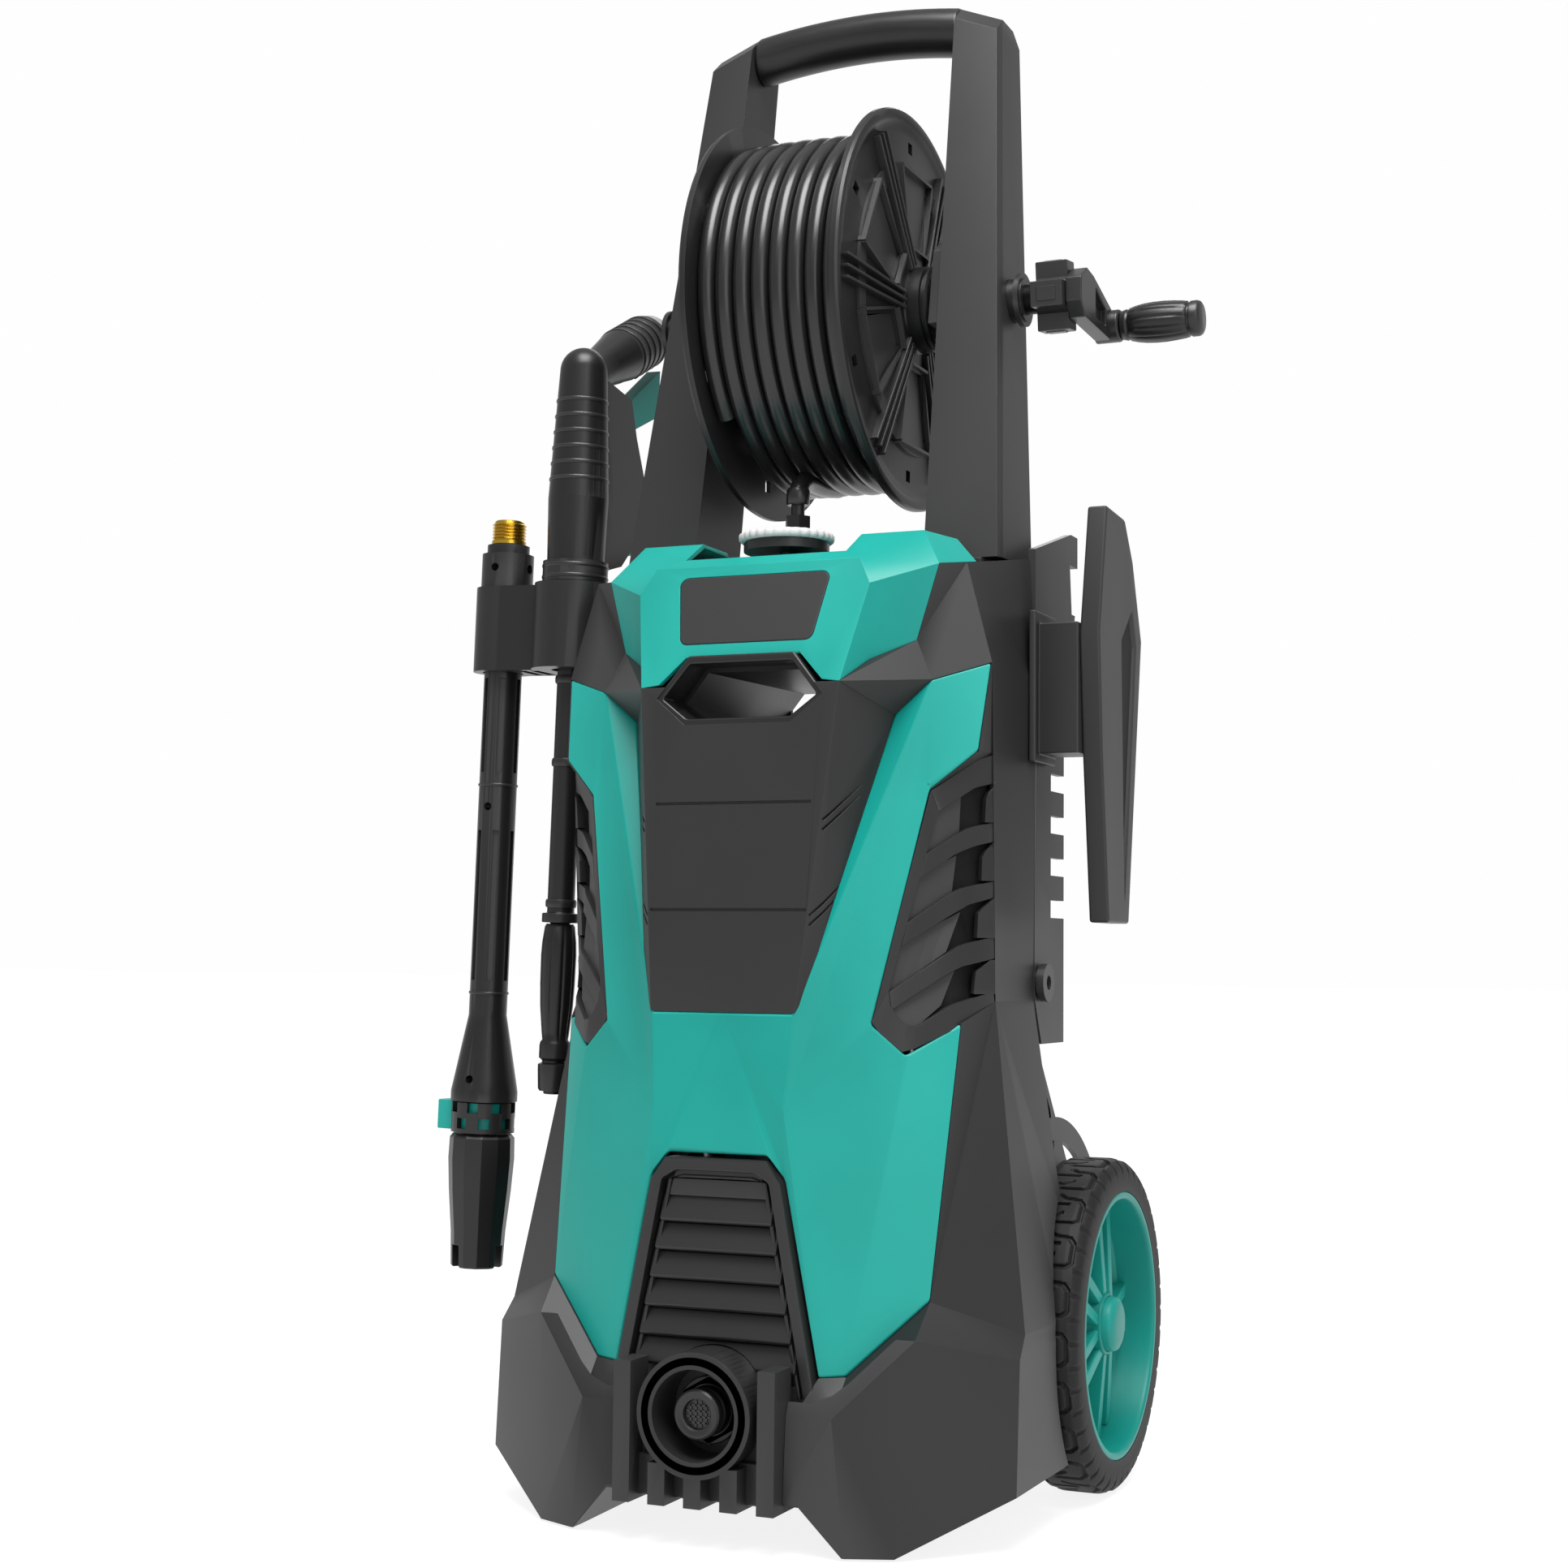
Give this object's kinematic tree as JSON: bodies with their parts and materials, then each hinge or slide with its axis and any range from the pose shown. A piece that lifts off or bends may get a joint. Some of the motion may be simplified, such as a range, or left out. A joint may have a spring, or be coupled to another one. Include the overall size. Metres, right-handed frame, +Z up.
{
  "type": "pressure washer",
  "caption": "Upright electric pressure washer with a hose reel and crank, two wheels, a spray gun and a spare lance in a side rack, and a cord hook.",
  "frame": {"origin": "floor level, on the mid-plane of the body, below the deck between the wheels and the front feet", "axes": "+Z up, the front with the water inlet faces -Y, +X is the side with the crank and the cord hook"},
  "size_m": [0.4757, 0.3437, 0.9085],
  "materials": {
    "teal_plastic": "moulded satin",
    "grey_plastic": "moulded satin",
    "black_plastic": "moulded satin",
    "tyre_rubber": "moulded tread",
    "hose_rubber": "smooth extruded",
    "steel": "turned",
    "pump_aluminium": "cast",
    "brass": "turned"
  },
  "bodies": {
    "machine": {"front_housing": "grey_plastic", "rear_cover": "grey_plastic", "rear_base": "grey_plastic", "top_deck": "grey_plastic", "front_cover": "teal_plastic", "centre_panel": "grey_plastic", "console": "teal_plastic", "label_plate": "black_plastic", "grip_tunnel": "black_plastic", "vent_left": "black_plastic", "vent_right": "black_plastic", "front_grille": "black_plastic", "inlet_surround": "grey_plastic", "inlet_connector": "black_plastic", "inlet_filter": "steel", "feet": "black_plastic", "post_left": "grey_plastic", "post_right": "grey_plastic", "handlebar": "black_plastic", "axle_bushes": "black_plastic", "hose_tail": "hose_rubber", "hose_connector": "black_plastic", "wheel_axle": "steel", "hook_bracket": "black_plastic", "hook_blade": "grey_plastic", "accessory_holder": "black_plastic", "cable_gland": "black_plastic", "switch_body": "black_plastic", "motor": "steel", "pump": "pump_aluminium", "high_pressure_pipe": "steel", "low_pressure_pipe": "black_plastic", "screws": "steel"},
    "reel": {"reel_flange_left": "black_plastic", "reel_flange_right": "black_plastic", "reel_drum": "black_plastic", "reel_axle": "steel", "hose_winding": "hose_rubber", "crank_hub": "black_plastic", "crank_arm": "black_plastic", "crank_pin": "steel"},
    "crank_handle": {"crank_grip": "black_plastic"},
    "left_wheel": {"wheel_left": "teal_plastic", "tyre_left": "tyre_rubber", "hub_cap_left": "teal_plastic"},
    "right_wheel": {"wheel_right": "teal_plastic", "tyre_right": "tyre_rubber", "hub_cap_right": "teal_plastic"},
    "dial": {"switch_dial": "black_plastic"},
    "gun": {"gun_body": "black_plastic", "gun_grip": "black_plastic", "gun_lance": "black_plastic"},
    "trigger": {"gun_trigger": "teal_plastic"},
    "latch": {"trigger_latch": "teal_plastic"},
    "spray_nozzle": {"gun_nozzle": "black_plastic"},
    "lance": {"lance_tube": "black_plastic", "lance_inlet": "brass", "lance_nozzle": "black_plastic"},
    "selector": {"lance_selector": "teal_plastic"},
    "motor_rotor": {"motor_fan": "black_plastic"}
  },
  "joints": [
    {"name": "reel_spin", "type": "hinge", "parent": "machine", "child": "reel", "pos_m": [0, 0.01, 0.706], "axis": [1, 0, 0], "continuous": true},
    {"name": "crank_handle_spin", "type": "hinge", "parent": "reel", "child": "crank_handle", "pos_m": [0, 0.06149, 0.69876], "axis": [1, 0, 0], "continuous": true},
    {"name": "left_wheel_spin", "type": "hinge", "parent": "machine", "child": "left_wheel", "pos_m": [0, 0.055, 0.097], "axis": [1, 0, 0], "continuous": true},
    {"name": "right_wheel_spin", "type": "hinge", "parent": "machine", "child": "right_wheel", "pos_m": [0, 0.055, 0.097], "axis": [1, 0, 0], "continuous": true},
    {"name": "dial_turn", "type": "hinge", "parent": "machine", "child": "dial", "pos_m": [0, -0.074, 0.55], "axis": [0, 0, 1], "range_deg": [0, 90]},
    {"name": "gun_lift", "type": "slide", "parent": "machine", "child": "gun", "axis": [0.0297, 0, 0.9996], "range_m": [0, 0.06]},
    {"name": "trigger_pull", "type": "hinge", "parent": "gun", "child": "trigger", "pos_m": [-0.16265, 0.014, 0.65595], "axis": [0.9996, 0, -0.0297], "range_deg": [0, 9], "stiffness_Nm_per_rad": 0.5, "springref_deg": -8.59},
    {"name": "latch_flip", "type": "hinge", "parent": "gun", "child": "latch", "pos_m": [-0.16487, 0.024, 0.58098], "axis": [0.9996, 0, -0.0297], "range_deg": [-35, 0]},
    {"name": "spray_turn", "type": "hinge", "parent": "gun", "child": "spray_nozzle", "pos_m": [-0.166, -0.026, 0.543], "axis": [0.0297, 0, 0.9996], "range_deg": [0, 90]},
    {"name": "lance_lift", "type": "slide", "parent": "machine", "child": "lance", "axis": [0.0297, 0, 0.9996], "range_m": [0, 0.06]},
    {"name": "selector_turn", "type": "hinge", "parent": "lance", "child": "selector", "pos_m": [-0.22198, -0.014, 0.54466], "axis": [0.0297, 0, 0.9996], "range_deg": [0, 60]},
    {"name": "motor_spin", "type": "hinge", "parent": "machine", "child": "motor_rotor", "pos_m": [0, -0.046, 0.28], "axis": [0, 0, 1], "continuous": true}
  ]
}
